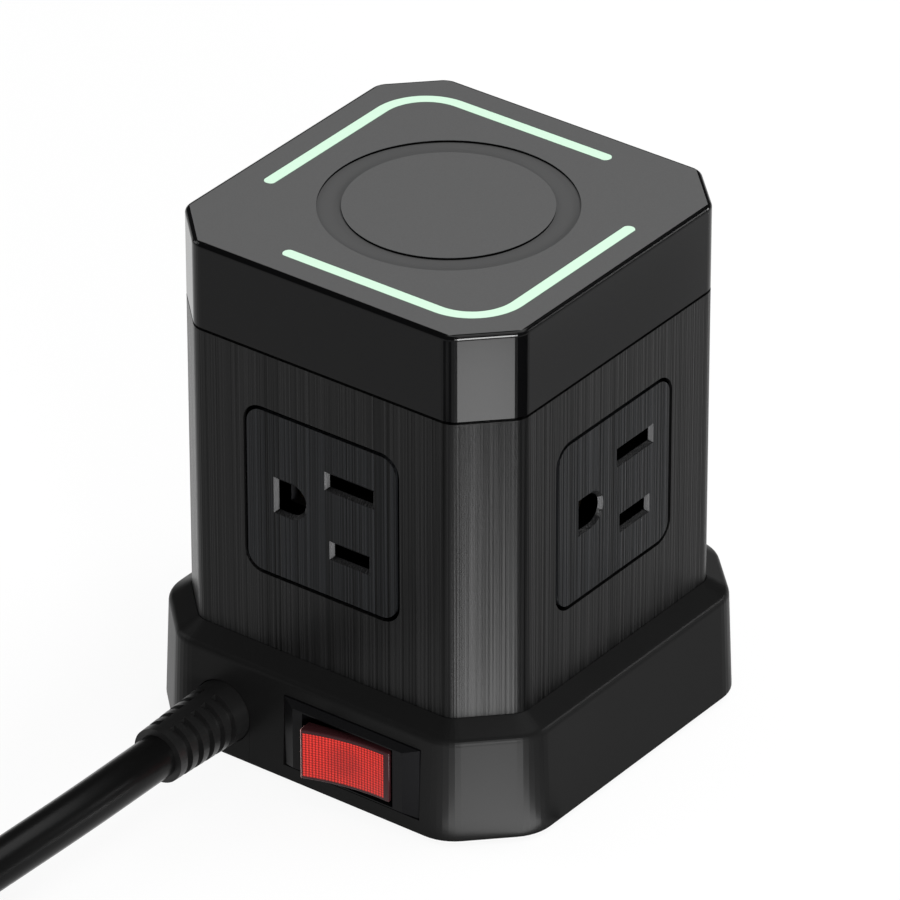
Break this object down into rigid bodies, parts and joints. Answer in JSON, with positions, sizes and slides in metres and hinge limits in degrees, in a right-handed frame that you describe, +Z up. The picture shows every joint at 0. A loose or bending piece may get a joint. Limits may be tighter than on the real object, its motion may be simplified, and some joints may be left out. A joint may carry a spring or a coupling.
{
  "type": "power strip",
  "caption": "Cube-shaped tower power strip with grounded outlets, USB ports, a wireless charging top with light strips, a lit rocker switch and a mains cord.",
  "frame": {"origin": "on the floor under the middle of the tower, at the height of the rubber feet's undersides", "axes": "+Z up through the middle of the tower; -Y is the face with the rocker switch and the cord; +X is the outlet face to its right"},
  "size_m": [0.1203, 0.2684, 0.0923],
  "materials": {
    "base_black": "satin black moulding",
    "brushed_black": "black moulding with an upright brushed finish",
    "cap_charcoal": "glossy black sides, fine matte charcoal top",
    "light_guide": "pale mint light guide",
    "soft_black": "black flexible moulding",
    "foot_rubber": "matte black rubber",
    "screw_steel": "zinc-plated steel",
    "contact_brass": "bare stamped brass",
    "coil_copper": "enamelled copper winding",
    "ferrite": "dark grey ferrite",
    "circuit_board": "green circuit board",
    "led_body": "small light-emitting diodes",
    "carrier_grey": "dark grey moulding",
    "insulator_white": "white moulding",
    "transformer_tape": "yellow tape over ferrite",
    "capacitor_sleeve": "dark blue sleeve",
    "varistor_blue": "blue coating",
    "rocker_red": "clear red moulding",
    "lamp_glass": "small neon lamp",
    "switch_black": "black moulding",
    "cord_black": "glossy black jacket",
    "lead_black": "black insulation",
    "lead_white": "white insulation",
    "lead_green": "green insulation",
    "lead_red": "dark red insulation",
    "plug_metal": "nickel-plated brass"
  },
  "bodies": {
    "tower": {"rubber_feet": "foot_rubber", "bottom_plate": "base_black", "bottom_screws": "screw_steel", "base_shell": "base_black", "cord_gate": "base_black", "body_shell": "brushed_black", "tie_screws": "screw_steel", "top_cap": "cap_charcoal", "light_strip_near": "light_guide", "light_strip_far": "light_guide", "charging_coil": "coil_copper", "ferrite_disc": "ferrite", "charger_board": "circuit_board", "board_screws": "screw_steel", "strip_leds": "led_body", "outlet_face_front": "brushed_black", "outlet_face_right": "brushed_black", "outlet_face_back": "brushed_black", "outlet_carrier_front": "carrier_grey", "outlet_carrier_right": "carrier_grey", "outlet_carrier_back": "carrier_grey", "hot_strip": "contact_brass", "neutral_strip": "contact_brass", "ground_strip": "contact_brass", "usb_face": "brushed_black", "usb_board": "circuit_board", "usb_a_shell_upper": "screw_steel", "usb_a_core_upper": "insulator_white", "usb_a_shell_middle": "screw_steel", "usb_a_core_middle": "insulator_white", "usb_c_shell": "screw_steel", "usb_c_core": "switch_black", "power_board": "circuit_board", "transformer": "transformer_tape", "capacitors": "capacitor_sleeve", "surge_varistor": "varistor_blue", "switch_housing": "switch_black", "switch_terminal_line": "contact_brass", "switch_terminal_load": "contact_brass", "switch_terminal_lamp": "contact_brass", "strain_relief": "soft_black", "hot_lead": "lead_black", "switched_lead": "lead_black", "neutral_lead": "lead_white", "ground_lead": "lead_green", "charger_lead": "lead_red", "power_cord": "cord_black", "cord_coil": "cord_black", "cord_tail": "cord_black", "plug_body": "soft_black", "plug_hot_blade": "plug_metal", "plug_neutral_blade": "plug_metal", "plug_ground_pin": "plug_metal"},
    "rocker": {"rocker_lens": "rocker_red", "rocker_carrier": "switch_black", "rocker_lamp": "lamp_glass", "rocker_plunger": "screw_steel", "plunger_spring": "screw_steel"},
    "lever": {"contact_lever": "contact_brass"}
  },
  "joints": [
    {"name": "rocker_tilt", "type": "hinge", "parent": "tower", "child": "rocker", "pos_m": [0.009, -0.0372, 0.0099], "axis": [0, 0, 1], "range_deg": [-20, 0]},
    {"name": "lever_tilt", "type": "hinge", "parent": "tower", "child": "lever", "pos_m": [0.009, -0.0278, 0.0099], "axis": [0, 0, 1], "range_deg": [0, 8]}
  ],
  "couplings": [
    {"joint": "lever_tilt", "follows": "rocker_tilt", "ratio": -0.4}
  ]
}
